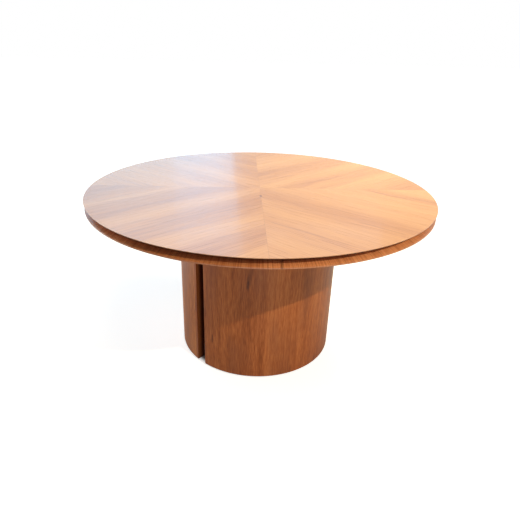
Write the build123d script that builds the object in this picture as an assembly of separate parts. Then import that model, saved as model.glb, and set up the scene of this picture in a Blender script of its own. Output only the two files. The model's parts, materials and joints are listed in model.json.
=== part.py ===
from build123d import *
import os
from math import cos, radians, sin, sqrt

# A round dining table whose top tilts up about a hinge at the back of a drum base.
# Millimetres. The drum's axis is Z, the floor is Z = 0 and the top's front edge is towards -Y.

# ---- overall sizes ----
table_height = 740.0
top_radius = 725.0
drum_radius = 350.0

# ---- fits ----
glue_gap = 0.1            # between curved faces that are glued together
running_fit = 0.05        # radial, between a pin, bolt or stem and its bore
screw_fit = 0.05          # radial, round a screw
seat_gap = 0.3            # between pieces that move apart
overshoot = 1.0           # how far a cutter runs past a face

# ---- top ----
face_veneer = 1.0
core_thickness = 34.0
back_veneer = 1.0
veneer_leaves = 4

# ---- edge moulding ----
moulding_count = 8
moulding_width = 70.0
lip_thickness = 2.0       # face veneer included
recess_depth = 38.0
undercut_drop = 7.0
bevel_rise = 15.0
foot_setback = 2.0        # the bottom arris lies this far inside the lip
foot_face = 4.5
recess_root_radius = 2.5

# ---- drum ----
drum_wall = 36.0
shell_veneer = 1.0
shell_gap = 46.0
gap_azimuth = 45.0        # both gaps lie on this diagonal
lipping_width = 12.0
lipping_arris = 3.0
floor_gap = 6.0
pad_space = 2.0           # between the drum's top edge and the underside of the top

# ---- inside the drum ----
former_width = 64.0
former_thickness = 18.0
former_setback = 60.0     # from the middle of a gap to a former's end
lower_former_height = 40.0
middle_former_height = 340.0
plate_thickness = 20.0
plate_drop = 28.0         # from the drum's top edge to the top plate's upper face
plate_relief_width = 90.0
plate_relief_depth = 60.0
plate_screw_turns = (-60, -20, 20, 60)            # degrees from a half shell's middle

# ---- hinges ----
hinge_spread = 120.0      # from the middle plane to each hinge
hinge_standoff = 8.0      # from the drum's surface to the hinge axis
hinge_drop = 8.0          # from the underside of the top to the hinge axis
hinge_width = 60.0
knuckle_radius = 7.0
knuckle_clearance = 0.8   # round a knuckle, to the other leaf
fixed_knuckle_width = 24.0
hinge_pin_radius = 3.5
fixed_leaf_thickness = 5.0
strap_thickness = 4.0
strap_length = 112.0
strap_web = 3.5           # half the width of the web between an ear and its bar
strap_screw_margin = 14.0
strap_end_round = 12.0
notch_margin = 1.0
hinge_rail_length = 310.0
hinge_rail_width = 48.0
hinge_rail_margin = 4.0
leaf_screw_rows = (0.78, 0.26)                    # shares of the rail's width, from its back
rail_screw_shares = (-0.55, -0.18, 0.18, 0.55)    # of the hinge spread
pin_head_radius = 5.5
pin_head_length = 3.0
pin_head_round = 1.2

# ---- battens ----
batten_spread = 200.0
batten_width = 40.0
batten_height = 22.0
batten_margin = 10.0
batten_chamfer = 5.0
batten_screw_shares = (-0.85, -0.3, 0.3, 0.85)    # of the batten's half length

# ---- catch ----
bolt_radius = 5.0
bolt_travel = 18.0
bolt_length = 62.0
bolt_tip_gap = 2.5        # from the drum to the tip of the withdrawn bolt
bolt_drop = 16.0          # from the underside of the top to the bolt's axis
housing_gap = 6.0
housing_length = 64.0
housing_screw_share = 0.34                        # of the housing's length, from its middle
housing_width = 26.0
housing_below = 9.0       # from the bolt's axis to the bottom of the housing
flange_width = 60.0
flange_thickness = 4.0
flange_corner = 8.0
housing_round = 3.0
knob_stem_radius = 3.0
knob_stem_depth = 3.0
knob_neck = 5.0
knob_radius = 8.0
knob_stem_entry = 1.6     # how far the stem enters the ball
knob_collar_radius = 5.0
knob_collar_height = 1.6
knob_collar_drop = 1.2    # from the housing to the collar
knob_flat = 1.5           # taken off the bottom of the ball
knob_slot_margin = 1.0
keeper_width = 34.0
keeper_height = 20.0
keeper_thickness = 3.0
keeper_setback = 0.6
keeper_hole_fit = 0.6
bolt_hole_margin = 4.0

# ---- pads, buffers and glides ----
pad_radius = 10.0
buffer_spread = 45.0
buffer_radius = 10.0
buffer_distance = 180.0   # from the hinge axis, along the underside
buffer_peg_radius = 3.0
buffer_peg_length = 12.0
glide_count = 4
glide_travel = 15.0
glide_inset = 22.0        # from the drum's face to the glides' axes
glide_foot_radius = 12.0
glide_foot_gap = 0.6
glide_foot_round = 1.5
glide_stem_radius = 4.0
glide_stem_seat = 2.5     # how far the stem enters the foot
stem_well_fit = 0.2       # radial, above the insert
insert_wall = 3.0
insert_length = 24.0
stem_well_margin = 4.0

# ---- screws: shank radius, head radius, length ----
light_screw = (2.0, 4.0, 18.0)
leaf_screw = (2.0, 4.0, 16.0)
rail_screw = (2.5, 5.0, 30.0)
batten_screw = (2.5, 5.0, 40.0)
plate_screw = (2.5, 5.0, 32.0)
keeper_screw = (1.5, 3.0, 14.0)

screw_slot_width = 0.9
screw_slot_depth = 1.1

# ---- places that follow from the sizes above ----
top_thickness = face_veneer + core_thickness + back_veneer
underside = table_height - top_thickness
drum_top = underside - pad_space
drum_inner = drum_radius - drum_wall
wall_middle = drum_radius - drum_wall / 2
glide_circle = drum_radius - glide_inset
moulding_inner = top_radius - moulding_width
hinge_y = drum_radius + hinge_standoff
hinge_z = underside - hinge_drop
plate_radius = drum_inner - seat_gap
top_plate_top = drum_top - plate_drop
rail_back = sqrt((plate_radius - hinge_rail_margin) ** 2 - (hinge_rail_length / 2) ** 2)
rail_top = hinge_z - knuckle_radius
batten_outer = batten_spread + batten_width / 2
batten_half = sqrt((drum_inner - batten_margin) ** 2 - batten_outer ** 2)
bolt_z = underside - bolt_drop
housing_front = -(drum_radius + housing_gap)
pad_azimuths = [gap_azimuth + side + turn for side in (90, 270) for turn in (-45, 0, 45)]
glide_azimuths = [gap_azimuth + 45 + turn * 360 / glide_count for turn in range(glide_count)]


# ---- shapes used by several pieces ----
def box(x_range, y_range, z_range):
    """A box between two values on each axis."""
    spans = [high - low for low, high in (x_range, y_range, z_range)]
    middles = [(low + high) / 2 for low, high in (x_range, y_range, z_range)]
    return Pos(*middles) * Box(*spans)


def disc(radius, low, high):
    """An upright cylinder on the drum's axis."""
    return Pos(0, 0, (low + high) / 2) * Cylinder(radius, high - low)


def rod(radius, start, end):
    """A cylinder between two points."""
    path = Vector(*end) - Vector(*start)
    return extrude(Plane(origin=start, z_dir=path) * Circle(radius), amount=path.length)


def ring(inner, outer, low, high):
    """An upright tube on the drum's axis."""
    return disc(outer, low, high) - disc(inner, low - overshoot, high + overshoot)


def polar(radius, azimuth, height):
    """A point at a radius and an azimuth from +X."""
    return (radius * cos(radians(azimuth)), radius * sin(radians(azimuth)), height)


def half(shape, side, inset, reach):
    """The part of a shape that lies past the gap's middle by inset, on one side of the gap diagonal."""
    keep = box((-reach, reach), (inset, reach), (-reach, 2 * reach))
    turn = gap_azimuth if side == "rear" else gap_azimuth + 180
    return shape & (Rot(0, 0, turn) * keep)


def group(pieces):
    """Separate pieces as one shape."""
    return Part() + list(pieces)


def screw(kind, place, direction, grow=0.0):
    """A slotted countersunk wood screw; its head's flat face is at place and it points along direction."""
    shank, head, length = kind
    cone = head - shank
    outline = Polyline(
        (0, grow), (head + grow, grow), (shank + grow, -cone), (shank + grow, -length + shank),
        (0, -length - grow), close=True)
    body = revolve(Plane.XZ * make_face(outline), Axis.Z)
    if grow == 0:
        half_width = screw_slot_width / 2
        body -= box((-head, head), (-half_width, half_width), (-screw_slot_depth, overshoot))
    return Plane(origin=place, z_dir=Vector(*direction) * -1).location * body


def screws(kind, places, direction, grow=0.0):
    """A group of equal screws."""
    return group(screw(kind, place, direction, grow) for place in places)


# ---- top ----
def edge_moulding(index):
    """One arc of the solid edge: a thin lip over a recess, and a bevel that runs out to the bottom arris."""
    recess = top_radius - recess_depth
    foot = top_radius - foot_setback
    bevel_foot = -top_thickness + foot_face
    points = [
        (moulding_inner, -face_veneer), (top_radius, -face_veneer), (top_radius, -lip_thickness),
        (recess, -lip_thickness - undercut_drop), (recess, bevel_foot + bevel_rise),
        (foot, bevel_foot), (foot, -top_thickness), (moulding_inner, -top_thickness)]
    profile = make_face(Polyline(*points, close=True))
    roots = [corner for corner in profile.vertices() if abs(corner.X - recess) < seat_gap]
    profile = fillet(roots, recess_root_radius)
    span = 360 / moulding_count
    arc = revolve(Plane.XZ * profile, Axis.Z, span)
    return Pos(0, 0, table_height) * Rot(0, 0, index * span) * arc


def face_quadrant(index):
    """One leaf of face veneer; its straight sides are the seams."""
    span = 360 / veneer_leaves
    section = Polyline((0, -face_veneer), (top_radius, -face_veneer), (top_radius, 0), (0, 0), close=True)
    leaf = revolve(Plane.XZ * make_face(section), Axis.Z, span)
    return Pos(0, 0, table_height) * Rot(0, 0, index * span) * leaf


def batten(side):
    """A stiffener under the core, inside the drum."""
    middle = side * batten_spread
    bar = box(
        (middle - batten_width / 2, middle + batten_width / 2), (-batten_half, batten_half),
        (underside - batten_height, underside))
    return chamfer(bar.faces().sort_by(Axis.Z)[0].edges(), batten_chamfer)


def batten_screw_places():
    return [(side * batten_spread, share * batten_half, underside - batten_height)
            for side in (-1, 1) for share in batten_screw_shares]


# ---- hinges ----
def hinge_middle(side):
    return side * hinge_spread


def strap(side):
    """The moving leaf: a bar under the top with an ear each side of the fixed knuckle."""
    middle = hinge_middle(side)
    half_width = hinge_width / 2
    ear_inner = fixed_knuckle_width / 2 + seat_gap
    bar_start = hinge_y + knuckle_radius + knuckle_clearance
    bar = box(
        (middle - half_width, middle + half_width), (bar_start, hinge_y + strap_length),
        (underside - strap_thickness, underside))
    bar = fillet(bar.edges().filter_by(Axis.Z).group_by(Axis.Y)[-1], strap_end_round)
    ears = Part()
    for ear_side in (-1, 1):
        near, far = sorted((middle + ear_side * ear_inner, middle + ear_side * half_width))
        ears += rod(knuckle_radius, (near, hinge_y, hinge_z), (far, hinge_y, hinge_z))
        ears += box((near, far), (hinge_y - strap_web, bar_start), (underside - strap_thickness, underside))
        ears += box((near, far), (hinge_y - strap_web, hinge_y + strap_web), (hinge_z, underside))
    bore = rod(hinge_pin_radius + running_fit, (middle - hinge_width, hinge_y, hinge_z),
               (middle + hinge_width, hinge_y, hinge_z))
    return bar + ears - bore


def strap_screw_places(side):
    middle = hinge_middle(side)
    start = hinge_y + knuckle_radius + strap_screw_margin
    stop = hinge_y + strap_length - strap_screw_margin
    height = underside - strap_thickness
    offset = hinge_width / 4
    return [(middle - offset, start, height), (middle + offset, (start + stop) / 2, height),
            (middle - offset, stop, height)]


def fixed_leaf(side):
    """The leaf screwed to the hinge rail; it passes through a notch in the rear shell."""
    middle = hinge_middle(side)
    half_width = hinge_width / 2
    low, high = rail_top, rail_top + fixed_leaf_thickness
    plate_end = hinge_y - knuckle_radius - knuckle_clearance
    wide = box((middle - half_width, middle + half_width), (rail_back - hinge_rail_width, plate_end),
               (low, high))
    neck = box((middle - fixed_knuckle_width / 2, middle + fixed_knuckle_width / 2),
               (plate_end, hinge_y), (low, high))
    barrel = rod(knuckle_radius, (middle - fixed_knuckle_width / 2, hinge_y, hinge_z),
                 (middle + fixed_knuckle_width / 2, hinge_y, hinge_z))
    bore = rod(hinge_pin_radius + running_fit, (middle - hinge_width, hinge_y, hinge_z),
               (middle + hinge_width, hinge_y, hinge_z))
    return wide + neck + barrel - bore


def leaf_screw_places(side):
    middle = hinge_middle(side)
    front, back = [rail_back - hinge_rail_width * share for share in leaf_screw_rows]
    offset = hinge_width / 4
    height = rail_top + fixed_leaf_thickness
    return [(middle - offset, front, height), (middle + offset, front, height), (middle, back, height)]


def hinge_pin(side):
    """A headed pin through both leaves."""
    middle = hinge_middle(side)
    half_width = hinge_width / 2
    inner = middle - side * (half_width + overshoot)
    outer = middle + side * (half_width + seat_gap)
    head_end = outer + side * pin_head_length
    shank = rod(hinge_pin_radius, (inner, hinge_y, hinge_z), (outer, hinge_y, hinge_z))
    head = rod(pin_head_radius, (outer, hinge_y, hinge_z), (head_end, hinge_y, hinge_z))
    rim = [edge for edge in head.edges() if abs(edge.center().X - head_end) < glue_gap]
    return shank + fillet(rim, pin_head_round)


def hinge_notches():
    """The space in the rear shell's top edge for both leaves."""
    cut = Part()
    for side in (-1, 1):
        middle = hinge_middle(side)
        reach = hinge_width / 2 + notch_margin
        cut += box((middle - reach, middle + reach), (rail_back, hinge_y),
                   (rail_top - notch_margin, table_height))
    return cut


def hinge_rail():
    """The block on the top plate that carries the fixed leaves."""
    return box((-hinge_rail_length / 2, hinge_rail_length / 2), (rail_back - hinge_rail_width, rail_back),
               (top_plate_top, rail_top))


def rail_screw_places():
    middle = rail_back - hinge_rail_width / 2
    return [(share * hinge_spread, middle, rail_top) for share in rail_screw_shares]


# ---- catch ----
def knob_y():
    """The knob's place when the bolt is withdrawn."""
    return housing_front - housing_length / 2 - bolt_travel / 2


def housing():
    """A block with a bore for the bolt, a slot for the knob and a flange for the screws."""
    back = housing_front - housing_length
    body = box((-housing_width / 2, housing_width / 2), (back, housing_front),
               (bolt_z - housing_below, underside))
    body = fillet(body.faces().sort_by(Axis.Z)[0].edges().filter_by(Axis.Y), housing_round)
    flange = box((-flange_width / 2, flange_width / 2), (back, housing_front),
                 (underside - flange_thickness, underside))
    body += fillet(flange.edges().filter_by(Axis.Z), flange_corner)
    bore_ends = (0, back - overshoot, bolt_z), (0, housing_front + overshoot, bolt_z)
    bore = rod(bolt_radius + running_fit, *bore_ends)
    slot_half = knob_stem_radius + knob_slot_margin
    slot = box((-slot_half, slot_half), (knob_y() - slot_half, knob_y() + bolt_travel + slot_half),
               (bolt_z - housing_below - overshoot, bolt_z))
    return body - bore - slot


def housing_screw_places():
    middle = housing_front - housing_length / 2
    across = (housing_width + flange_width) / 4
    along = housing_length * housing_screw_share
    return [(x * across, middle + y * along, underside - flange_thickness) for x in (-1, 1) for y in (-1, 1)]


def knob_stem(radius):
    bottom = bolt_z - housing_below - knob_neck
    return rod(radius, (0, knob_y(), bottom), (0, knob_y(), bolt_z - bolt_radius + knob_stem_depth))


def catch_bolt():
    """The sliding bolt, withdrawn."""
    tip = -(drum_radius + bolt_tip_gap)
    shank = rod(bolt_radius, (0, tip - bolt_length, bolt_z), (0, tip, bolt_z))
    shank = chamfer(shank.faces().sort_by(Axis.Y)[-1].edges(), bolt_radius / 4)
    return shank - knob_stem(knob_stem_radius + running_fit)


def catch_knob():
    """A turned knob on a stem that screws into the bolt: a collar, a neck and a ball with a flat end."""
    centre = bolt_z - housing_below - knob_neck - knob_radius + knob_stem_entry
    high = bolt_z - housing_below - knob_collar_drop
    collar = rod(knob_collar_radius, (0, knob_y(), high - knob_collar_height), (0, knob_y(), high))
    ball = Pos(0, knob_y(), centre) * Sphere(knob_radius)
    end = centre - knob_radius
    ball -= box((-knob_radius, knob_radius), (knob_y() - knob_radius, knob_y() + knob_radius),
                (end - overshoot, end + knob_flat))
    return knob_stem(knob_stem_radius) + collar + ball


def keeper_face():
    return -(drum_radius - keeper_setback)


def keeper_span(grow):
    """The keeper's space, grown by a margin on the sides that are let in."""
    return box((-keeper_width / 2 - grow, keeper_width / 2 + grow),
               (keeper_face(), keeper_face() + keeper_thickness + grow),
               (bolt_z - keeper_height / 2 - grow, bolt_z + keeper_height / 2 + grow))


def bolt_hole(depth):
    start = (0, -(drum_radius + overshoot), bolt_z)
    return rod(bolt_radius + keeper_hole_fit, start, (0, -drum_radius + depth, bolt_z))


def keeper_plate():
    """The plate round the bolt's hole."""
    screw_holes = screws(keeper_screw, keeper_screw_places(), (0, 1, 0), screw_fit)
    return keeper_span(0) - bolt_hole(drum_wall) - screw_holes


def keeper_screw_places():
    across = (keeper_width / 2 + bolt_radius + keeper_hole_fit) / 2
    return [(side * across, keeper_face(), bolt_z) for side in (-1, 1)]


def keeper_pocket():
    """The pocket in the front shell, open to the outside."""
    pocket = keeper_span(running_fit)
    return pocket + box((-keeper_width / 2 - running_fit, keeper_width / 2 + running_fit),
                        (-(drum_radius + overshoot), keeper_face()),
                        (bolt_z - keeper_height / 2 - running_fit, bolt_z + keeper_height / 2 + running_fit))


# ---- drum ----
def shell_cuts(side):
    """What is cut out of one half shell and its veneer."""
    if side == "rear":
        return hinge_notches()
    hole_depth = bolt_travel - bolt_tip_gap + bolt_hole_margin
    return keeper_pocket() + bolt_hole(hole_depth) + screws(
        keeper_screw, keeper_screw_places(), (0, 1, 0), screw_fit)


def shell(side):
    """The curved wall of one half of the drum."""
    wall = ring(drum_inner, drum_radius - shell_veneer - glue_gap, floor_gap, drum_top)
    wall = half(wall, side, shell_gap / 2 + lipping_width, 2 * drum_radius)
    return wall - shell_cuts(side) - glide_wells()


def shell_skin(side):
    """The veneer on the outside of one half shell."""
    skin = ring(drum_radius - shell_veneer, drum_radius, floor_gap, drum_top)
    return half(skin, side, shell_gap / 2 + lipping_width, 2 * drum_radius) - shell_cuts(side)


def gap_arrises(strip):
    """The upright edges of a strip that lie on the drum's surface, beside the gap."""
    turn = radians(gap_azimuth)
    uprights = [edge.center() for edge in strip.edges().filter_by(Axis.Z)]
    nearest = min(abs(middle.Y * cos(turn) - middle.X * sin(turn)) for middle in uprights)
    return [
        edge for edge in strip.edges().filter_by(Axis.Z)
        if abs(edge.center().Y * cos(turn) - edge.center().X * sin(turn)) < nearest + glue_gap
        and Vector(edge.center().X, edge.center().Y, 0).length > drum_radius - glue_gap]


def shell_lippings(side):
    """The two solid strips that close the ends of one half shell, with a rounded outer arris."""
    wall = ring(drum_inner, drum_radius, floor_gap, drum_top)
    strips = half(wall, side, shell_gap / 2, 2 * drum_radius)
    strips -= half(wall, side, shell_gap / 2 + lipping_width, 2 * drum_radius)
    return group(fillet(gap_arrises(strip), lipping_arris) for strip in strips.solids())


def former(side, low):
    """A curved rib glued inside one half shell."""
    rib = ring(drum_inner - former_width, drum_inner - glue_gap, low, low + former_thickness)
    return half(rib, side, former_setback, 2 * drum_radius)


def plate(low, high):
    """A disc across both half shells, relieved where it would show through a gap."""
    body = disc(plate_radius, low, high)
    for turn in (0, 180):
        relief = box((plate_radius - plate_relief_depth, drum_radius),
                     (-plate_relief_width / 2, plate_relief_width / 2), (low - overshoot, high + overshoot))
        body -= Rot(0, 0, gap_azimuth + turn) * relief
    return body


def plate_screw_places(height):
    radius = drum_inner - former_width / 2
    return [polar(radius, gap_azimuth + side + turn, height)
            for side in (90, 270) for turn in plate_screw_turns]


# ---- pads, buffers and glides ----
def rest_pads():
    """Felt discs on the drum's top edge, under the top."""
    pads = Part()
    for azimuth in pad_azimuths:
        x, y, low = polar(wall_middle, azimuth, drum_top)
        pads += rod(pad_radius, (x, y, low), (x, y, underside - seat_gap))
    return pads


def buffer_height():
    """The buffer ends just short of the drum when the top stands upright."""
    nearest = buffer_spread - buffer_radius
    return hinge_y + hinge_drop - sqrt(drum_radius ** 2 - nearest ** 2) - seat_gap


def buffer(side, grow=0.0):
    """A rubber buffer on a peg in the core."""
    x, y = side * buffer_spread, hinge_y + buffer_distance
    peg = rod(buffer_peg_radius + grow, (x, y, underside), (x, y, underside + buffer_peg_length + grow))
    return peg + rod(buffer_radius, (x, y, underside - buffer_height()), (x, y, underside))


def buffers(grow=0.0):
    return group(buffer(side, grow) for side in (-1, 1))


def glide_wells():
    """The holes in the shells for the inserts and the stems above them."""
    wells = Part()
    insert_radius = glide_stem_radius + insert_wall + running_fit
    for azimuth in glide_azimuths:
        x, y, low = polar(glide_circle, azimuth, floor_gap)
        wells += rod(insert_radius, (x, y, low - overshoot), (x, y, low + insert_length))
        wells += rod(glide_stem_radius + stem_well_fit, (x, y, low), (x, y, glide_top() + stem_well_margin))
    return wells


def glide_foot_top():
    return floor_gap - glide_foot_gap


def glide_top():
    """High enough that the whole insert still holds the stem at full travel."""
    return floor_gap + insert_length + glide_travel


def glide_inserts():
    """Threaded sleeves in the bottom of the shells."""
    sleeves = Part()
    for azimuth in glide_azimuths:
        x, y, low = polar(glide_circle, azimuth, floor_gap)
        high = low + insert_length
        sleeve = rod(glide_stem_radius + insert_wall, (x, y, low), (x, y, high))
        bore = rod(glide_stem_radius + running_fit, (x, y, low - overshoot), (x, y, high + overshoot))
        sleeves += sleeve - bore
    return sleeves


def glide_stem(azimuth, grow=0.0):
    x, y, low = polar(glide_circle, azimuth, glide_foot_top() - glide_stem_seat)
    return rod(glide_stem_radius + grow, (x, y, low), (x, y, glide_top()))


def glide_foot(azimuth):
    """A nylon foot moulded on its stem."""
    x, y, low = polar(glide_circle, azimuth, 0)
    foot = rod(glide_foot_radius, (x, y, low), (x, y, glide_foot_top()))
    foot = fillet(foot.faces().sort_by(Axis.Z)[0].edges(), glide_foot_round)
    return foot - glide_stem(azimuth, running_fit)


# ---- screws of each joint, as screws and as the holes for them ----
def top_fixings(grow=0.0):
    """What enters the core and the back veneer from below."""
    up = (0, 0, 1)
    strap_places = strap_screw_places(-1) + strap_screw_places(1)
    return {
        "batten_screws": screws(batten_screw, batten_screw_places(), up, grow),
        "strap_screws": screws(light_screw, strap_places, up, grow),
        "catch_screws": screws(light_screw, housing_screw_places(), up, grow),
    }


def base_fixings(grow=0.0):
    """What enters the plates, the formers and the hinge rail from above."""
    down = (0, 0, -1)
    leaf_places = leaf_screw_places(-1) + leaf_screw_places(1)
    bottom_plate_top = lower_former_height + former_thickness + plate_thickness
    return {
        "leaf_screws": screws(leaf_screw, leaf_places, down, grow),
        "rail_screws": screws(rail_screw, rail_screw_places(), down, grow),
        "top_plate_screws": screws(plate_screw, plate_screw_places(top_plate_top), down, grow),
        "bottom_plate_screws": screws(plate_screw, plate_screw_places(bottom_plate_top), down, grow),
    }


# ---- assembly ----
def top_nodes():
    holes = top_fixings(screw_fit)
    every_hole = group(holes.values()) + buffers(running_fit)
    core_radius = moulding_inner - glue_gap
    nodes = {
        "top_core": disc(core_radius, underside + back_veneer, table_height - face_veneer) - every_hole,
        "back_veneer": disc(core_radius, underside, underside + back_veneer) - every_hole,
        "catch_housing": housing() - holes["catch_screws"],
        "tilt_buffers": buffers(),
    }
    for index in range(veneer_leaves):
        nodes[f"face_veneer_{index + 1}"] = face_quadrant(index)
    for index in range(moulding_count):
        nodes[f"edge_moulding_{index + 1}"] = edge_moulding(index)
    for name, side in (("left", -1), ("right", 1)):
        nodes[f"batten_{name}"] = batten(side) - holes["batten_screws"]
        nodes[f"hinge_strap_{name}"] = strap(side) - holes["strap_screws"]
    nodes.update(top_fixings())
    return nodes


def base_nodes():
    holes = base_fixings(screw_fit)
    plate_low = lower_former_height + former_thickness
    upper_former_height = top_plate_top - plate_thickness - former_thickness
    top_plate_holes = holes["top_plate_screws"] + holes["rail_screws"] + holes["leaf_screws"]
    nodes = {
        "bottom_plate": plate(plate_low, plate_low + plate_thickness) - holes["bottom_plate_screws"],
        "top_plate": plate(top_plate_top - plate_thickness, top_plate_top) - top_plate_holes,
        "hinge_rail": hinge_rail() - holes["rail_screws"] - holes["leaf_screws"],
        "rest_pads": rest_pads(),
        "keeper_plate": keeper_plate(),
        "keeper_screws": screws(keeper_screw, keeper_screw_places(), (0, 1, 0)),
        "glide_inserts": glide_inserts(),
    }
    for side in ("rear", "front"):
        nodes[f"{side}_shell"] = shell(side)
        nodes[f"{side}_shell_veneer"] = shell_skin(side)
        nodes[f"{side}_shell_lippings"] = shell_lippings(side)
        nodes[f"{side}_lower_former"] = former(side, lower_former_height) - holes["bottom_plate_screws"]
        nodes[f"{side}_middle_former"] = former(side, middle_former_height)
        nodes[f"{side}_upper_former"] = former(side, upper_former_height) - holes["top_plate_screws"]
    for name, side in (("left", -1), ("right", 1)):
        nodes[f"fixed_leaf_{name}"] = fixed_leaf(side) - holes["leaf_screws"]
        nodes[f"hinge_pin_{name}"] = hinge_pin(side)
    nodes.update(base_fixings())
    return nodes


def moving_nodes():
    nodes = {"catch_bolt": catch_bolt(), "catch_knob": catch_knob()}
    for index, azimuth in enumerate(glide_azimuths):
        nodes[f"glide_stem_{index + 1}"] = glide_stem(azimuth)
        nodes[f"glide_foot_{index + 1}"] = glide_foot(azimuth)
    return nodes


os.makedirs("parts", exist_ok=True)
for node, shape in {**top_nodes(), **base_nodes(), **moving_nodes()}.items():
    export_step(shape, f"parts/{node}.step")
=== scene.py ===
import json
from math import cos, pi, radians, sin

import bmesh
import bpy
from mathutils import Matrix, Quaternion, Vector


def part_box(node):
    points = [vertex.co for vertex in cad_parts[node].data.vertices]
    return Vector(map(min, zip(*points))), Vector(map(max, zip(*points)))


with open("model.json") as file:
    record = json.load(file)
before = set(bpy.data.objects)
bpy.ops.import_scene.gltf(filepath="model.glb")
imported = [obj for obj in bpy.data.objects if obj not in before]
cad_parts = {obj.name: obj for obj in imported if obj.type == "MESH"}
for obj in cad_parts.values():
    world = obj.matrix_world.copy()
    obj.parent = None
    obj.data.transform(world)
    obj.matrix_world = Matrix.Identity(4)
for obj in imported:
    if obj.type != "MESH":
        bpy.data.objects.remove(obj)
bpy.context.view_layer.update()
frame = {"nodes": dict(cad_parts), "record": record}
nodes = frame["nodes"]

# ---- places read from the frame, in metres ----
TOP_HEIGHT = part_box("face_veneer_1")[1].z
TOP_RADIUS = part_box("face_veneer_1")[1].x
EDGE_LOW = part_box("edge_moulding_1")[0].z
DRUM_RADIUS = -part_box("front_shell_veneer")[0].y


# ---- colours ----
def srgb(red, green, blue):
    """A linear colour from sRGB values of 0 to 255."""
    def linear(value):
        value /= 255
        return value / 12.92 if value <= 0.04045 else ((value + 0.055) / 1.055) ** 2.4
    return (linear(red), linear(green), linear(blue), 1.0)


# dark, middle and light wood; the top's and the edge's are paler and the drum's darker than one shared wood,
# partly the wood's own tone and partly painted light and painted shade
TOP_WOOD = (srgb(172, 117, 75), srgb(198, 145, 97), srgb(211, 163, 115))
DRUM_WOOD = (srgb(138, 70, 30), srgb(171, 94, 47), srgb(190, 112, 62))
# a paler copy of the drum's wood: painted light from the left on the rear shell
REAR_LIT_WOOD = (srgb(149, 82, 37), srgb(184, 109, 57), srgb(204, 129, 74))
EDGE_WOOD = (srgb(172, 102, 61), srgb(209, 136, 88), srgb(226, 158, 108))
# near black: painted shade standing in for the dark inside of the drum
INSIDE_SHADE_BLACK = (srgb(20, 13, 9), srgb(38, 25, 18), srgb(56, 38, 27))
BEECH = (srgb(150, 104, 66), srgb(190, 142, 98), srgb(212, 168, 124))
LINING = (srgb(96, 58, 34), srgb(134, 86, 54), srgb(160, 110, 74))
# what darkens or tints the wood in places
SEAM = srgb(118, 66, 38)
KNOT = srgb(92, 44, 22)
STREAK = srgb(66, 28, 12)
# painted shade in the edge's recess
PAINTED_RECESS_SHADE = srgb(78, 38, 18)
# painted shade on the edge's foot
PAINTED_FOOT_SHADE = srgb(150, 84, 48)
# painted shade, a dark line on the lip under the top's rim
PAINTED_LIP_SHADE = srgb(96, 52, 28)
VIOLET_ZONE = srgb(134, 78, 52)
# painted shade, darker deeper into the gaps between the shells
PAINTED_GAP_SHADE = srgb(64, 20, 6)
# the floor and the world
WHITE = (1.0, 1.0, 1.0, 1.0)
FLOOR_COLOUR = (0.8, 0.8, 0.8, 1.0)

# ---- shader building ----
# the part of a noise's range that becomes wood tone, roughness, or the mottle of metal and soft pieces
TONE_RANGE = (0.33, 0.67)
GLOSS_RANGE = (0.3, 0.7)
MOTTLE_RANGE = (0.35, 0.65)


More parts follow.
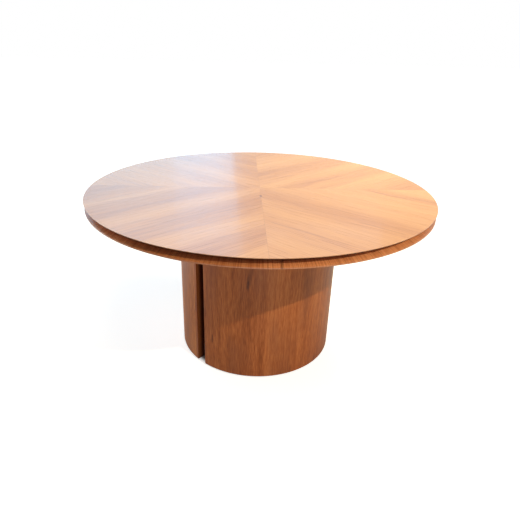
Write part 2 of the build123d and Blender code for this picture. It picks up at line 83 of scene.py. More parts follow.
class Tree:
    """The node tree of a material or world, with short calls for the nodes that the finishes use."""

    def __init__(self, owner):
        self.owner = owner
        owner.use_nodes = True
        self.tree = owner.node_tree
        self.tree.nodes.clear()

    def node(self, kind, inputs=None, **settings):
        """A new node; each input is a value or the socket that feeds it."""
        made = self.tree.nodes.new(kind)
        for key, value in settings.items():
            setattr(made, key, value)
        for key, value in (inputs or {}).items():
            if isinstance(value, bpy.types.NodeSocket):
                self.tree.links.new(value, made.inputs[key])
            else:
                made.inputs[key].default_value = value
        return made

    def math(self, operation, first, second=0.0, clamp=False):
        inputs = {0: first, 1: second}
        return self.node("ShaderNodeMath", inputs, operation=operation, use_clamp=clamp).outputs[0]

    def add(self, first, second, clamp=False):
        return self.math("ADD", first, second, clamp)

    def subtract(self, first, second):
        return self.math("SUBTRACT", first, second)

    def times(self, first, second):
        return self.math("MULTIPLY", first, second)

    def swing(self, value, amount):
        """A value about 0.5 becomes one about 0, scaled to an amount."""
        return self.times(self.subtract(value, 0.5), amount)

    def average(self, first, second):
        return self.add(self.times(first, 0.5), self.times(second, 0.5))

    def length(self, x, y):
        """The length of the line from 0, 0 to x, y."""
        return self.math("SQRT", self.add(self.times(x, x), self.times(y, y)))

    def noise(self, x, y, z, detail=2.0, roughness=0.5):
        where = self.node("ShaderNodeCombineXYZ", {"X": x, "Y": y, "Z": z}).outputs[0]
        settings = {"Vector": where, "Scale": 1.0, "Detail": detail, "Roughness": roughness}
        return self.node("ShaderNodeTexNoise", settings).outputs["Fac"]

    def even_noise(self, place, scale, detail=2.0, roughness=0.5):
        """Noise with as much detail in every direction."""
        return self.noise(*[self.times(value, scale) for value in place], detail, roughness)

    def grain(self, along, across, scales, seed, detail=2.0):
        """Noise drawn out along the grain; scales are its detail per metre along and across."""
        return self.noise(self.times(along, scales[0]), self.times(across, scales[1]), seed, detail)

    def stretch(self, value, low, high, start=0.0, end=1.0):
        """Maps low..high to start..end, clamped and smooth at both ends."""
        settings = {"Value": value, "From Min": low, "From Max": high, "To Min": start, "To Max": end}
        return self.node("ShaderNodeMapRange", settings, interpolation_type="SMOOTHSTEP").outputs[0]

    def gloss(self, grain, lowest, highest):
        """Roughness that follows the grain."""
        return self.stretch(grain, *GLOSS_RANGE, lowest, highest)

    def ramp(self, value, stops):
        """A colour ramp; stops are pairs of place and colour."""
        made = self.node("ShaderNodeValToRGB", {"Fac": value})
        ramp = made.color_ramp
        while len(ramp.elements) < len(stops):
            ramp.elements.new(0.5)
        for element, (place, colour) in zip(ramp.elements, stops):
            element.position = place
            element.color = colour
        return made.outputs["Color"]

    def mix(self, factor, first, second):
        """The second colour over the first. Blender numbers the colour sockets 6 and 7, and the result 2."""
        inputs = {0: factor, 6: first, 7: second}
        return self.node("ShaderNodeMix", inputs, data_type="RGBA").outputs[2]

    def place(self):
        """The piece's own coordinates, in metres."""
        coordinates = self.node("ShaderNodeTexCoord").outputs["Object"]
        parts = self.node("ShaderNodeSeparateXYZ", {"Vector": coordinates}).outputs
        return parts[0], parts[1], parts[2]

    def bump(self, height, strength, distance):
        settings = {"Height": height, "Strength": strength, "Distance": distance}
        return self.node("ShaderNodeBump", settings).outputs["Normal"]

    def seen(self, path):
        """1 for what is seen, directly, mirrored or through glass, and 0 for what only gives light."""
        seen = self.math("MAXIMUM", path["Is Camera Ray"], path["Is Glossy Ray"])
        return self.math("MAXIMUM", seen, path["Is Transmission Ray"])

    def end(self, shader, kind="ShaderNodeOutputMaterial"):
        """Ends the tree in a shader and gives its material or world."""
        self.node(kind, {"Surface": shader.outputs[0]})
        return self.owner

    def finish(self, colour, roughness, normal, **constants):
        """Ends the tree in a Principled shader; constants go on its own sockets."""
        inputs = {"Base Color": colour, "Roughness": roughness, "Normal": normal}
        inputs.update({key.replace("_", " "): value for key, value in constants.items()})
        return self.end(self.node("ShaderNodeBsdfPrincipled", inputs))


def material_tree(name):
    """The empty tree of a new material."""
    return Tree(bpy.data.materials.new(name))


def turned(tree, x, y, angle):
    """Coordinates along and across a grain that lies at an angle from +X."""
    along = tree.add(tree.times(x, cos(angle)), tree.times(y, sin(angle)))
    across = tree.subtract(tree.times(y, cos(angle)), tree.times(x, sin(angle)))
    return along, across


def around(tree, x, y, radius):
    """The distance round the axis, at a radius."""
    return tree.times(tree.math("ARCTAN2", y, x), radius)


# ---- wood in general ----
WOOD_TONES = (0.12, 0.5, 0.86)  # where a wood's dark, middle and light colours lie on its scale of tones
DRIFT_SCALES = (1.3, 2.5)
DRIFT = 0.035                   # how far the grain wanders, in metres
LAYER_SEED = 3.7                # added to the seed from layer to layer


def figure(tree, along, across, seed, layers):
    """Wood figure: its tone, its finest layer, and the place across the grain as the grain wanders.

    Each layer has its detail per metre along and across the grain, and its share of the tone."""
    drift = tree.grain(along, across, DRIFT_SCALES, seed)
    across = tree.add(across, tree.swing(drift, DRIFT))
    tone = 0.5
    for index, (along_scale, across_scale, amount) in enumerate(layers):
        fibres = tree.grain(along, across, (along_scale, across_scale), seed + LAYER_SEED * index)
        tone = tree.add(tone, tree.swing(tree.stretch(fibres, *TONE_RANGE), amount))
    return tone, fibres, across


STREAK_RAGS = (30.0, 300.0)     # detail per metre of a streak's ragged sides, along and across
STREAK_RAG = 1.6                # how far they stray, as a share of the streak's half width
STREAK_POINT = 0.35             # how much a streak's ends are drawn out


def streak(tree, colour, arc, z, ends, width, strength):
    """A dark streak between two places on a round face, ragged along its sides."""
    (low_arc, low_z), (high_arc, high_z) = ends
    run_arc, run_z = high_arc - low_arc, high_z - low_z
    squared = run_arc ** 2 + run_z ** 2
    from_arc = tree.subtract(arc, low_arc)
    from_z = tree.subtract(z, low_z)
    share = tree.add(tree.times(from_arc, run_arc / squared), tree.times(from_z, run_z / squared), clamp=True)
    off_arc = tree.subtract(from_arc, tree.times(share, run_arc))
    off_z = tree.times(tree.subtract(from_z, tree.times(share, run_z)), STREAK_POINT)
    ragged = tree.grain(z, arc, STREAK_RAGS, low_z, detail=3.0)
    off = tree.add(tree.length(off_arc, off_z), tree.swing(ragged, width * STREAK_RAG))
    return tree.mix(tree.stretch(off, 0.0, width, strength, 0.0), colour, STREAK)


def streaks(tree, colour, arc, z, radius, listed):
    """Dark streaks on a round face.

    Each has two ends as azimuth in degrees and height, its half width, and its strength."""
    for first, last, width, strength in listed:
        ends = [(radians(azimuth) * radius, height) for azimuth, height in (first, last)]
        colour = streak(tree, colour, arc, z, ends, width, strength)
    return colour


# ---- veneer ----
LEAF_WIDTH = 0.18
LEAF_TONE = 0.08                # how much the tone differs from leaf to leaf
JOINT_WIDTH = 0.0008
JOINT_BREAKS = 90.0             # breaks in a joint's line, per metre
JOINT_DEPTH = 0.8
BAND_TONE = 0.6                 # how much of the tone the broad bands give
PALEST_STEP = 0.39              # how far the palest colour lies beyond light, as a share of middle to light
JOINT_RANGE = (0.35, 0.6)       # the part of the noise that a joint's line comes and goes in
LINE_SCALES, LINE_SEED, LINE_RANGE = (1.7, 105.0), 23.7, (0.63, 0.72)
PORE_SCALES, PORE_SEED, PORE_RANGE = (70.0, 1500.0), 17.9, (0.62, 0.74)
PORE_SHADE = 0.28
PORE_DEPTH = 0.6
VENEER_BUMP = (0.12, 0.0002)    # strength, and depth in metres

# "reach" is how far the broad bands go across the grain, in metres; "leaf_start" moves the leaves' joints;
# "lines" and "joint" are the strength of the thin dark lines and of the joints; "figure" has each layer's
# detail per metre along and across the grain, and its share of the tone
TOP_VENEER = {
    "colours": TOP_WOOD, "roughness": (0.27, 0.38), "reach": (-0.6, 0.6),
    "leaf_start": 0.13, "lines": 0.16, "joint": 0.3,
    "figure": [(0.8, 11.0, 0.16), (1.2, 48.0, 0.08), (3.0, 170.0, 0.16), (9.0, 430.0, 0.30)]}
DRUM_VENEER = {
    "roughness": (0.40, 0.54), "reach": (-0.85, 0.35),
    "leaf_start": 0.0075, "lines": 0.36, "joint": 0.45,
    "figure": [(0.8, 11.0, 0.18), (2.0, 48.0, 0.16), (7.0, 170.0, 0.26), (24.0, 420.0, 0.50)]}


def leaves(tree, along, across, start, seed):
    """A random value for each veneer leaf, and a broken thin line at each joint between leaves."""
    scaled = tree.math("DIVIDE", tree.add(across, start), LEAF_WIDTH)
    count = tree.math("FLOOR", scaled)
    random = tree.node("ShaderNodeTexWhiteNoise", {"W": count}, noise_dimensions="1D").outputs["Value"]
    from_middle = tree.math("ABSOLUTE", tree.subtract(tree.math("FRACT", scaled), 0.5))
    joint = tree.stretch(from_middle, 0.5 - JOINT_WIDTH / LEAF_WIDTH, 0.5)
    broken = tree.noise(tree.times(along, JOINT_BREAKS), 0.0, seed)
    return random, tree.times(joint, tree.stretch(broken, *JOINT_RANGE))


def broad_bands(tree, across, reach, bands):
    """The tone of broad bands that run along the grain; bands are pairs of metres across it and tone."""
    low, high = reach
    share = tree.math("DIVIDE", tree.subtract(across, low), high - low, clamp=True)
    stops = [((place - low) / (high - low), (tone, tone, tone, 1)) for place, tone in bands]
    return tree.ramp(share, stops)


def veneer(tree, along, across, seed, wood, bands):
    """The colour, roughness and bump of lacquered veneer."""
    tone, fibres, wandered = figure(tree, along, across, seed, wood["figure"])
    leaf, joint = leaves(tree, along, across, wood["leaf_start"], seed)
    tone = tree.add(tone, tree.swing(leaf, LEAF_TONE))
    if bands:
        tone = tree.add(tone, tree.swing(broad_bands(tree, wandered, wood["reach"], bands), BAND_TONE))
    dark, middle, light = wood["colours"]
    palest = tuple(high + PALEST_STEP * (high - low) for low, high in zip(middle, light))
    colour = tree.ramp(tone, [*zip(WOOD_TONES, wood["colours"]), (1.0, palest)])
    lines = tree.stretch(tree.grain(along, wandered, LINE_SCALES, seed + LINE_SEED), *LINE_RANGE)
    colour = tree.mix(tree.times(lines, wood["lines"]), colour, dark)
    pores = tree.stretch(tree.grain(along, wandered, PORE_SCALES, seed + PORE_SEED, detail=1.0), *PORE_RANGE)
    colour = tree.mix(tree.times(pores, PORE_SHADE), colour, dark)
    colour = tree.mix(tree.times(joint, wood["joint"]), colour, dark)
    height = tree.subtract(fibres, tree.times(pores, PORE_DEPTH))
    height = tree.subtract(height, tree.times(joint, JOINT_DEPTH))
    return colour, tree.gloss(fibres, *wood["roughness"]), tree.bump(height, *VENEER_BUMP)


# ---- top ----
GRAIN_ANGLE = radians(40)
# each quadrant's grain angle, seed and tone as a whole, and its broad bands as pairs of metres across the
# grain and tone; the lower tone as a whole of quadrants 2 and 3 is painted shade on the left of the top
QUADRANTS = {
    "face_veneer_1": (GRAIN_ANGLE, 2.3, 0.0, [
        (-0.41, 0.3), (-0.33, 0.4), (-0.22, 0.83), (-0.15, 0.5), (-0.08, 0.25), (-0.03, 0.5), (0.02, 0.72),
        (0.09, 0.5), (0.18, 0.14), (0.23, 0.6), (0.29, 0.83), (0.37, 0.5), (0.46, 0.25)]),
    "face_veneer_2": (pi - GRAIN_ANGLE, 5.1, -0.10, [
        (-0.50, 0.55), (-0.42, 0.4), (-0.35, 0.0), (-0.33, 0.1), (-0.27, 0.55), (-0.16, 0.2), (-0.05, 0.5),
        (0.05, 0.4), (0.22, 0.72), (0.30, 0.3), (0.40, 0.42)]),
    "face_veneer_3": (pi + GRAIN_ANGLE, 8.6, -0.28, [
        (-0.41, 0.3), (-0.35, 0.24), (-0.29, 0.4), (-0.23, 0.77), (-0.17, 0.42), (-0.10, 0.26), (-0.05, 0.38),
        (0.025, 0.76), (0.09, 0.6), (0.15, 0.13), (0.19, 0.4), (0.24, 0.6), (0.30, 0.9), (0.35, 0.37),
        (0.41, 0.15), (0.45, 0.6), (0.49, 0.75)]),
    "face_veneer_4": (-GRAIN_ANGLE, 11.4, 0.01, [
        (-0.49, 0.75), (-0.43, 0.65), (-0.37, 0.47), (-0.31, 0.44), (-0.27, 0.58), (-0.21, 0.5),
        (-0.16, 0.55), (-0.09, 0.24), (-0.045, 0.2), (0.02, 0.6), (0.11, 0.6), (0.17, 0.74), (0.27, 0.72),
        (0.315, 0.08), (0.345, 0.4), (0.38, 0.92), (0.41, 0.76)])}
# thin dark marks that lie in the grain: metres along it from and to, metres across it, half width, strength
MARKS = {
    "face_veneer_1": [((0.12, 0.30), 0.175, 0.005, 0.2)],
    "face_veneer_2": [((0.20, 0.38), -0.21, 0.005, 0.2)],
    "face_veneer_3": [((0.20, 0.52), 0.150, 0.006, 0.2), ((0.27, 0.52), 0.345, 0.004, 0.25)],
    "face_veneer_4": [((0.24, 0.66), -0.311, 0.0035, 0.5), ((0.05, 0.47), -0.084, 0.004, 0.22),
                      ((0.50, 0.71), -0.103, 0.0040, 0.45), ((0.34, 0.60), 0.285, 0.006, 0.35),
                      ((0.48, 0.60), 0.095, 0.004, 0.3)]}
MARK_RAGS = (25.0, 250.0)       # detail per metre of a mark's ragged sides, along and across
MARK_RAG = 1.2                  # how far they stray, as a share of the mark's half width
MARK_FADE = 0.6                 # where a mark starts to fade, as a share of the way to its ends
SEAM_WIDTH = 0.0007
SEAM_STRENGTH = 0.55
KNOT_BACK = 0.121               # from the knot to the middle of the top
KNOT_WIDTH, KNOT_LENGTH = 0.007, 0.014
KNOT_CORE = 0.2                 # the share of its area that is at full strength
KNOT_STRENGTH = 0.8


def mark(tree, colour, along, across, ends, place, width, strength):
    """A thin dark mark along the grain that fades at both ends."""
    middle, half = (ends[0] + ends[1]) / 2, (ends[1] - ends[0]) / 2
    run = tree.math("ABSOLUTE", tree.subtract(along, middle))
    run = tree.stretch(run, half * MARK_FADE, half, 1.0, 0.0)
    ragged = tree.grain(along, across, MARK_RAGS, place)
    off = tree.math("ABSOLUTE", tree.subtract(across, place))
    off = tree.add(off, tree.swing(ragged, width * MARK_RAG))
    line = tree.stretch(off, 0.0, width, strength, 0.0)
    return tree.mix(tree.times(run, line), colour, SEAM)


def seams(tree, colour, x, y):
    """A hairline where the quadrants meet."""
    nearest = tree.math("MINIMUM", tree.math("ABSOLUTE", x), tree.math("ABSOLUTE", y))
    seam = tree.stretch(nearest, 0.0, SEAM_WIDTH, 1.0, 0.0)
    return tree.mix(tree.times(seam, SEAM_STRENGTH), colour, SEAM)


def knot(tree, colour, x, y):
    """A small dark knot on the front seam."""
    aside = tree.math("POWER", tree.math("DIVIDE", x, KNOT_WIDTH), 2.0)
    ahead = tree.math("POWER", tree.math("DIVIDE", tree.add(y, KNOT_BACK), KNOT_LENGTH), 2.0)
    return tree.mix(tree.stretch(tree.add(aside, ahead), KNOT_CORE, 1.0, KNOT_STRENGTH, 0.0), colour, KNOT)


def face_veneer(name):
    """One quadrant of the top."""
    angle, seed, base, bands = QUADRANTS[name]
    tree = material_tree(name)
    x, y, _ = tree.place()
    along, across = turned(tree, x, y, angle)
    # the lower tones of quadrants 2 and 3 are painted shade on the left of the top
    bands = [(place, tone + base) for place, tone in bands]
    colour, roughness, normal = veneer(tree, along, across, seed, TOP_VENEER, bands)
    for ends, place, width, strength in MARKS[name]:
        colour = mark(tree, colour, along, across, ends, place, width, strength)
    colour = knot(tree, seams(tree, colour, x, y), x, y)
    return tree.finish(colour, roughness, normal, IOR=1.4, Coat_Weight=0.25, Coat_Roughness=0.1)


# ---- edge ----
# detail per metre out from the axis and round it, and seed
COARSE_GRAIN, FINE_GRAIN, FLECKS = ((6.0, 60.0), 1.7), ((12.0, 280.0), 4.4), ((60.0, 110.0), 7.9)
COARSE_SHARE = 0.25
EDGE_RANGE = (0.34, 0.66)
FLECK_RANGE, FLECK_STRENGTH = (0.69, 0.79), 0.5
RECESS_ROOT, RECESS_MIDDLE, RECESS_STRENGTH = TOP_RADIUS - 0.038, TOP_RADIUS - 0.016, 0.85
FOOT_FULL, FOOT_GONE, FOOT_STRENGTH = EDGE_LOW + 0.004, EDGE_LOW + 0.006, 0.45
LIP_LOW, LIP_BLUR, LIP_STRENGTH = TOP_HEIGHT - 0.002, 0.0003, 0.7
EDGE_GLOSS = (0.32, 0.46)
EDGE_BUMP = (0.2, 0.0003)       # strength, and depth in metres
# runs of painted shade and of painted light round the edge: azimuth, the cosines of the angles from it where
# the run starts and where it is full, its strength outside and in full, colour
EDGE_LIGHT_AND_SHADE_RUNS = [(-110, (0.925, 0.992), (0.08, 0.48), srgb(140, 78, 42)),
             (-42, (0.75, 0.98), (0.0, 0.22), srgb(236, 170, 118))]
EDGE_STREAKS = [((-86.9, 0.709), (-86.5, 0.723), 0.006, 0.6), ((-118.3, 0.709), (-118.0, 0.721), 0.005, 0.5),
                ((-60.0, 0.712), (-60.3, 0.721), 0.004, 0.4), ((52.0, 0.710), (52.4, 0.722), 0.005, 0.5)]


def edge_wood():
    """The edge moulding: short grain that runs out from the middle of the table."""
    tree = material_tree("edge_wood")
    x, y, z = tree.place()
    arc = around(tree, x, y, TOP_RADIUS)
    radius = tree.length(x, y)
    along = tree.add(radius, z)
    coarse = tree.grain(along, arc, *COARSE_GRAIN)
    fine = tree.grain(along, arc, *FINE_GRAIN, detail=3.0)
    tone = tree.add(tree.times(coarse, COARSE_SHARE), tree.times(fine, 1 - COARSE_SHARE))
    colour = tree.ramp(tree.stretch(tone, *EDGE_RANGE), list(zip((0.0, 0.5, 1.0), EDGE_WOOD)))
    flecks = tree.stretch(tree.grain(along, arc, *FLECKS), *FLECK_RANGE, 0.0, FLECK_STRENGTH)
    colour = tree.mix(flecks, colour, STREAK)
    # painted shade in the recess, strongest at its root
    recess_shade = tree.stretch(radius, RECESS_ROOT, RECESS_MIDDLE, RECESS_STRENGTH, 0.0)
    colour = tree.mix(recess_shade, colour, PAINTED_RECESS_SHADE)
    # painted shade on the foot of the edge
    foot_shade = tree.stretch(z, FOOT_FULL, FOOT_GONE, FOOT_STRENGTH, 0.0)
    colour = tree.mix(foot_shade, colour, PAINTED_FOOT_SHADE)
    # painted shade on the front left of the edge, painted light on its front right
    for azimuth, cosines, strengths, shade in EDGE_LIGHT_AND_SHADE_RUNS:
        facing, _ = turned(tree, x, y, radians(azimuth))
        facing = tree.math("DIVIDE", facing, radius)
        colour = tree.mix(tree.stretch(facing, *cosines, *strengths), colour, shade)
    colour = streaks(tree, colour, arc, z, TOP_RADIUS, EDGE_STREAKS)
    # painted shade along the lip under the top's rim
    lip = tree.stretch(z, LIP_LOW - LIP_BLUR, LIP_LOW + LIP_BLUR, 0.0, LIP_STRENGTH)
    colour = tree.mix(lip, colour, PAINTED_LIP_SHADE)
    return tree.finish(colour, tree.gloss(fine, *EDGE_GLOSS), tree.bump(fine, *EDGE_BUMP))


# ---- drum ----
# tone round the front shell, as pairs of azimuth in degrees and tone
FRONT_BANDS = [
    (-129, 0.38), (-123, 0.36), (-120, 0.43), (-116, 0.52), (-99, 0.54), (-96, 0.44), (-93, 0.48),
    (-90, 0.36), (-88.5, 0.45), (-86, 0.72), (-81, 0.97), (-78, 0.87), (-75, 0.8), (-72, 0.68),
    (-68, 0.54), (-66, 0.54), (-63, 0.68), (-57, 0.78), (-54, 0.6), (-50, 0.5), (-45, 0.55),
    (-30, 0.4), (0, 0.6), (25, 0.35)]
DRUM_STREAKS = [
    ((-95.6, 0.520), (-97.6, 0.468), 0.0140, 0.50), ((-98.0, 0.456), (-98.4, 0.440), 0.0085, 0.75),
    ((-123.9, 0.170), (-124.0, 0.144), 0.0060, 0.72), ((-56.6, 0.520), (-55.8, 0.020), 0.0042, 0.20),
    ((-60.0, 0.660), (-58.5, 0.430), 0.0160, 0.22), ((-97.2, 0.300), (-95.0, 0.190), 0.0060, 0.20),
    ((58.0, 0.260), (60.0, 0.170), 0.0045, 0.60), ((147.0, 0.470), (148.5, 0.400), 0.0045, 0.60)]
ZONE_SCALES, ZONE_SEED = (2.2, 10.0), 6.0
ZONE_RANGE, ZONE_SHADE = (0.40, 0.68), 0.42


def drum_veneer(name, seed, colours, bands=()):
    """Vertical veneer on a half shell, with violet zones and a few dark streaks."""
    tree = material_tree(name)
    x, y, z = tree.place()
    arc = around(tree, x, y, DRUM_RADIUS)
    bands = [(radians(azimuth) * DRUM_RADIUS, tone) for azimuth, tone in bands]
    colour, roughness, normal = veneer(tree, z, arc, seed, {**DRUM_VENEER, "colours": colours}, bands)
    zones = tree.grain(z, arc, ZONE_SCALES, seed + ZONE_SEED)
    colour = tree.mix(tree.stretch(zones, *ZONE_RANGE, 0.0, ZONE_SHADE), colour, VIOLET_ZONE)
    colour = streaks(tree, colour, arc, z, DRUM_RADIUS, DRUM_STREAKS)
    return tree.finish(colour, roughness, normal, IOR=1.36, Specular_IOR_Level=0.45)


# ---- solid wood ----
PLAIN_FIGURE = [(0.8, 11.0, 0.22), (1.6, 48.0, 0.26), (5.0, 190.0, 0.26), (22.0, 700.0, 0.26)]
PLAIN_BUMP = (0.15, 0.0003)     # strength, and depth in metres
BOARD_GLOSS = (0.4, 0.6)
LIPPING_GLOSS = (0.36, 0.5)
GAP_SHADE_START, GAP_SHADE_END, GAP_SHADE_STRENGTH = DRUM_RADIUS - 0.004, DRUM_RADIUS - 0.028, 0.96


def solid_wood(tree, along, across, seed, colours):
    """The colour, the fibres and the bump of wood with no leaves or pores."""
    tone, fibres, _ = figure(tree, along, across, seed, PLAIN_FIGURE)
    return tree.ramp(tone, list(zip(WOOD_TONES, colours))), fibres, tree.bump(fibres, *PLAIN_BUMP)


def straight_wood(name, colours, seed, axis):
    """Straight-grained wood along X, Y or Z."""
    tree = material_tree(name)
    place = dict(zip("xyz", tree.place()))
    along = place.pop(axis)
    colour, fibres, normal = solid_wood(tree, along, tree.add(*place.values()), seed, colours)
    return tree.finish(colour, tree.gloss(fibres, *BOARD_GLOSS), normal)


def lipping():
    """Upright wood at the gaps, darkened towards the inside by painted shade."""
    tree = material_tree("drum_lipping")
    x, y, z = tree.place()
    colour, fibres, normal = solid_wood(tree, z, tree.add(x, y), 18.4, DRUM_WOOD)
    # painted shade, darker deeper into the gap
    inside = tree.stretch(tree.length(x, y), GAP_SHADE_END, GAP_SHADE_START, GAP_SHADE_STRENGTH, 0.0)
    colour = tree.mix(inside, colour, PAINTED_GAP_SHADE)
    return tree.finish(colour, tree.gloss(fibres, *LIPPING_GLOSS), normal, IOR=1.36)


# ---- metal, rubber, nylon and felt ----
TARNISH_SCALE = 70.0            # detail per metre
BRUSH_ALONG, BRUSH_ACROSS = 90.0, 2500.0    # detail per metre along the brushing and across it
BRUSH_STRENGTH = 0.08
CLOUD_SIZE = 20                 # a soft piece's clouds, as a multiple of its grain


def metal(name, dark, light, roughness, depth):
    """Metal with a little tarnish, and with fine brushing along Y that is this many metres deep."""
    tree = material_tree(name)
    x, y, z = tree.place()
    tarnish = tree.even_noise((x, y, z), TARNISH_SCALE, detail=4.0, roughness=0.6)
    brushed = tree.noise(tree.times(x, BRUSH_ACROSS), tree.times(y, BRUSH_ALONG), tree.times(z, BRUSH_ACROSS))
    colour = tree.mix(tree.stretch(tarnish, *MOTTLE_RANGE), light, dark)
    roughness = tree.gloss(tree.average(tarnish, brushed), *roughness)
    return tree.finish(colour, roughness, tree.bump(brushed, BRUSH_STRENGTH, depth), Metallic=1.0)


def soft(name, dark, light, scale, roughness, bump, **constants):
    """A grained surface with no direction; bump is its strength, and its depth in metres."""
    tree = material_tree(name)
    place = tree.place()
    grain = tree.even_noise(place, scale, detail=5.0, roughness=0.6)
    cloud = tree.even_noise(place, scale / CLOUD_SIZE)
    colour = tree.mix(tree.stretch(tree.average(grain, cloud), *MOTTLE_RANGE), dark, light)
    return tree.finish(colour, tree.gloss(grain, *roughness), tree.bump(grain, *bump), **constants)


# ---- finishes of the CAD nodes ----
def slot_materials():
    """The finish of each material slot."""
    return {
        "edge_wood": edge_wood(),
        "core_board": straight_wood("core_board", BEECH, 3.3, "x"),
        "back_veneer": straight_wood("back_veneer", LINING, 6.1, "x"),
        # the inside boards' near black is painted shade
        "shell_board": straight_wood("shell_board", INSIDE_SHADE_BLACK, 9.2, "z"),
        "inner_board": straight_wood("inner_board", INSIDE_SHADE_BLACK, 12.7, "x"),
        "beech": straight_wood("beech", BEECH, 15.8, "y"),
        "drum_lipping": lipping(),
        "hinge_steel": metal("hinge_steel", srgb(120, 118, 114), srgb(176, 174, 170), (0.28, 0.45), 0.00011),
        "catch_brass": metal("catch_brass", srgb(150, 112, 56), srgb(206, 168, 96), (0.2, 0.4), 0.00012),
        "screw_steel": metal("screw_steel", srgb(128, 124, 112), srgb(190, 186, 172), (0.25, 0.42), 0.00013),
        "felt": soft("felt", srgb(44, 32, 24), srgb(78, 58, 44), 2400, (0.9, 1.0), (0.6, 0.0004),
                     Sheen_Weight=0.4),
        "buffer_rubber": soft("buffer_rubber", srgb(16, 16, 16), srgb(34, 33, 32), 1800, (0.55, 0.75),
                              (0.2, 0.0001)),
        "glide_nylon": soft("glide_nylon", srgb(26, 24, 22), srgb(46, 43, 40), 1500, (0.4, 0.55),
                            (0.15, 0.0001))}


def node_materials():
    """The finishes of the nodes that have one of their own."""
    made = {name: face_veneer(name) for name in QUADRANTS}
    made["front_shell_veneer"] = drum_veneer("front_veneer", 21.0, DRUM_WOOD, FRONT_BANDS)
    # its paler wood is painted light from the left
    made["rear_shell_veneer"] = drum_veneer("rear_veneer", 34.0, REAR_LIT_WOOD)
    return made


def dress_nodes():
    """Gives each CAD node its finish."""
    slots = slot_materials()
    own = node_materials()
    for part in frame["record"]["subparts"]:
        name = part["node"]
        piece = nodes[name]
        piece.data.materials.clear()
        piece.data.materials.append(own.get(name) or slots[part["material_slot"]])


# ---- floor and world ----
FLOOR_REACH = 40.0
# the floor's added white: least as far as FLOOR_NEAR from the axis, full from FLOOR_FAR, none under the drum
FLOOR_NEAR, FLOOR_FAR = 1.3, 3.2
NEAR_WHITE = 0.75
UNDER_FADE = 0.03
# in reflections it is less, from beside the drum as far as this, a painted shadow of the table on the floor
MIRRORED_FAR = 1.9
MIRRORED_WHITE = 0.3
WORLD_LIGHT = 0.1


def floor_material():
    """Pale, whitened where it is seen but not under the drum, and clear from below."""
    tree = material_tree("floor")
    x, y, _ = tree.place()
    far = tree.length(x, y)
    path = tree.node("ShaderNodeLightPath").outputs
    white = tree.stretch(far, FLOOR_NEAR, FLOOR_FAR, NEAR_WHITE, 1.0)
    white = tree.times(white, tree.stretch(far, DRUM_RADIUS - UNDER_FADE, DRUM_RADIUS))
    # painted shadow of the table in the floor that the drum mirrors
    mirrored = tree.stretch(far, DRUM_RADIUS, MIRRORED_FAR, MIRRORED_WHITE, 1.0)
    white = tree.times(white, tree.math("MAXIMUM", mirrored, path["Is Camera Ray"]))
    diffuse = tree.node("ShaderNodeBsdfDiffuse", {"Color": FLOOR_COLOUR})
    glow = tree.node("ShaderNodeEmission", {"Color": WHITE, "Strength": tree.times(tree.seen(path), white)})
    both = tree.node("ShaderNodeAddShader", {0: diffuse.outputs[0], 1: glow.outputs[0]})
    below = tree.node("ShaderNodeNewGeometry").outputs["Backfacing"]
    clear = tree.node("ShaderNodeBsdfTransparent", {"Color": WHITE})
    return tree.end(tree.node("ShaderNodeMixShader", {0: below, 1: both.outputs[0], 2: clear.outputs[0]}))


def make_floor():
    """A plain floor that keeps the object's shadow."""
    mesh = bpy.data.meshes.new("floor")
    shape = bmesh.new()
    bmesh.ops.create_grid(shape, x_segments=1, y_segments=1, size=FLOOR_REACH)
    shape.to_mesh(mesh)
    shape.free()
    mesh.materials.append(floor_material())
    floor = bpy.data.objects.new("floor", mesh)
    bpy.context.scene.collection.objects.link(floor)


def make_world():
    """White where it is seen, and a softer white as light."""
    world = bpy.data.worlds.new("studio")
    bpy.context.scene.world = world
    tree = Tree(world)
    seen = tree.seen(tree.node("ShaderNodeLightPath").outputs)
    light = tree.node("ShaderNodeBackground", {"Color": WHITE, "Strength": WORLD_LIGHT})
    white = tree.node("ShaderNodeBackground", {"Color": WHITE, "Strength": 1.0})
    mixed = tree.node("ShaderNodeMixShader", {0: seen, 1: light.outputs[0], 2: white.outputs[0]})
    tree.end(mixed, "ShaderNodeOutputWorld")


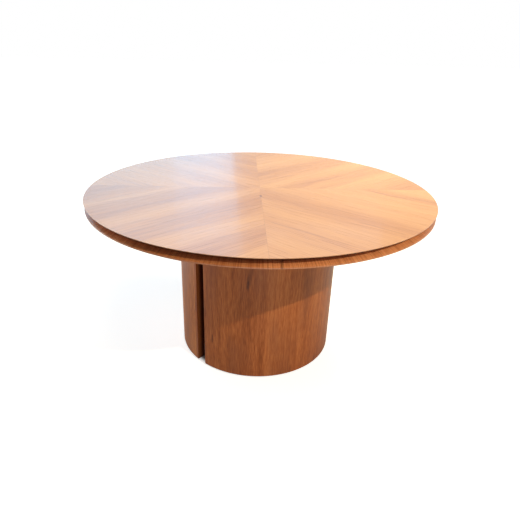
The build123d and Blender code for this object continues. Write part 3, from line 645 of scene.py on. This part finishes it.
# ---- lights and camera ----
# each light's azimuth, elevation and distance from the middle of the top, its width and height, its power,
# its colour, and whether it shows in reflections
LIGHTS = {
    "key": ((-50.3, 35.9, 4.5), (0.08, 0.08), 93, (1.0, 0.87, 0.61), False),
    "right": ((34, 42, 1.75), (0.6, 0.6), 29, (1.0, 0.80, 0.34), False),
    "overhead": ((-82, 66, 2.3), (1.5, 1.5), 29, (1.0, 0.81, 0.48), False),
    "window": ((118.3, 17, 4.6), (4.4, 2.4), 47.5, (0.11, 0.62, 1.0), True),
    "sky": ((90, 31, 4.6), (4.0, 1.4), 18, (0.40, 0.72, 1.0), True),
    "pane": ((97.1, 15.9, 4.92), (0.9, 2.4), 4, (0.1, 0.5, 1.0), True),
    "left": ((165, 36, 3.4), (2.4, 0.9), 14, (1.0, 0.86, 0.6), True),
    "left_low": ((166, -8.5, 4.0), (2.0, 0.24), 42, (0.95, 0.95, 1.0), True),
    "front": ((-95, 30, 3.5), (2.0, 1.4), 3, (1.0, 0.80, 0.46), False),
    "low": ((-90, -8.5, 4.0), (2.4, 0.24), 26, (0.58, 0.76, 0.96), True)}
# the view of the photograph
CAMERA_PLACE = (-0.0904, -1.9166, 1.2939)
CAMERA_AZIMUTH = radians(88.51)
CAMERA_PITCH = radians(-24.65)
CAMERA_ROLL = radians(1.32)
CAMERA_LENS = 31.61
CAMERA_SHIFT = (0.0216, -0.0077)


def direction(azimuth, elevation):
    """One metre from the origin towards an azimuth and elevation."""
    return Vector((cos(azimuth) * cos(elevation), sin(azimuth) * cos(elevation), sin(elevation)))


def make_lights():
    """Rectangular soft lights that face the middle of the top."""
    centre = Vector((0, 0, TOP_HEIGHT))
    for name, ((azimuth, elevation, distance), size, power, colour, reflected) in LIGHTS.items():
        towards = direction(radians(azimuth), radians(elevation))
        data = bpy.data.lights.new(name, "AREA")
        data.shape = "RECTANGLE"
        data.size, data.size_y = size
        data.energy = power
        data.color = colour
        lamp = bpy.data.objects.new(name, data)
        bpy.context.scene.collection.objects.link(lamp)
        lamp.location = centre + towards * distance
        lamp.visible_camera = False
        lamp.visible_glossy = reflected
        lamp.rotation_mode = "QUATERNION"
        lamp.rotation_quaternion = (-towards).to_track_quat("-Z", "Y")


def make_camera():
    """A camera at the photograph's place, looking as it looks."""
    data = bpy.data.cameras.new("camera")
    data.lens = CAMERA_LENS
    data.shift_x, data.shift_y = CAMERA_SHIFT
    camera = bpy.data.objects.new("camera", data)
    bpy.context.scene.collection.objects.link(camera)
    camera.location = CAMERA_PLACE
    forward = direction(CAMERA_AZIMUTH, CAMERA_PITCH)
    camera.rotation_mode = "QUATERNION"
    camera.rotation_quaternion = forward.to_track_quat("-Z", "Y") @ Quaternion((0, 0, 1), CAMERA_ROLL)
    bpy.context.scene.camera = camera


dress_nodes()
make_floor()
make_world()
make_lights()
make_camera()
bpy.context.scene.view_settings.view_transform = "Standard"
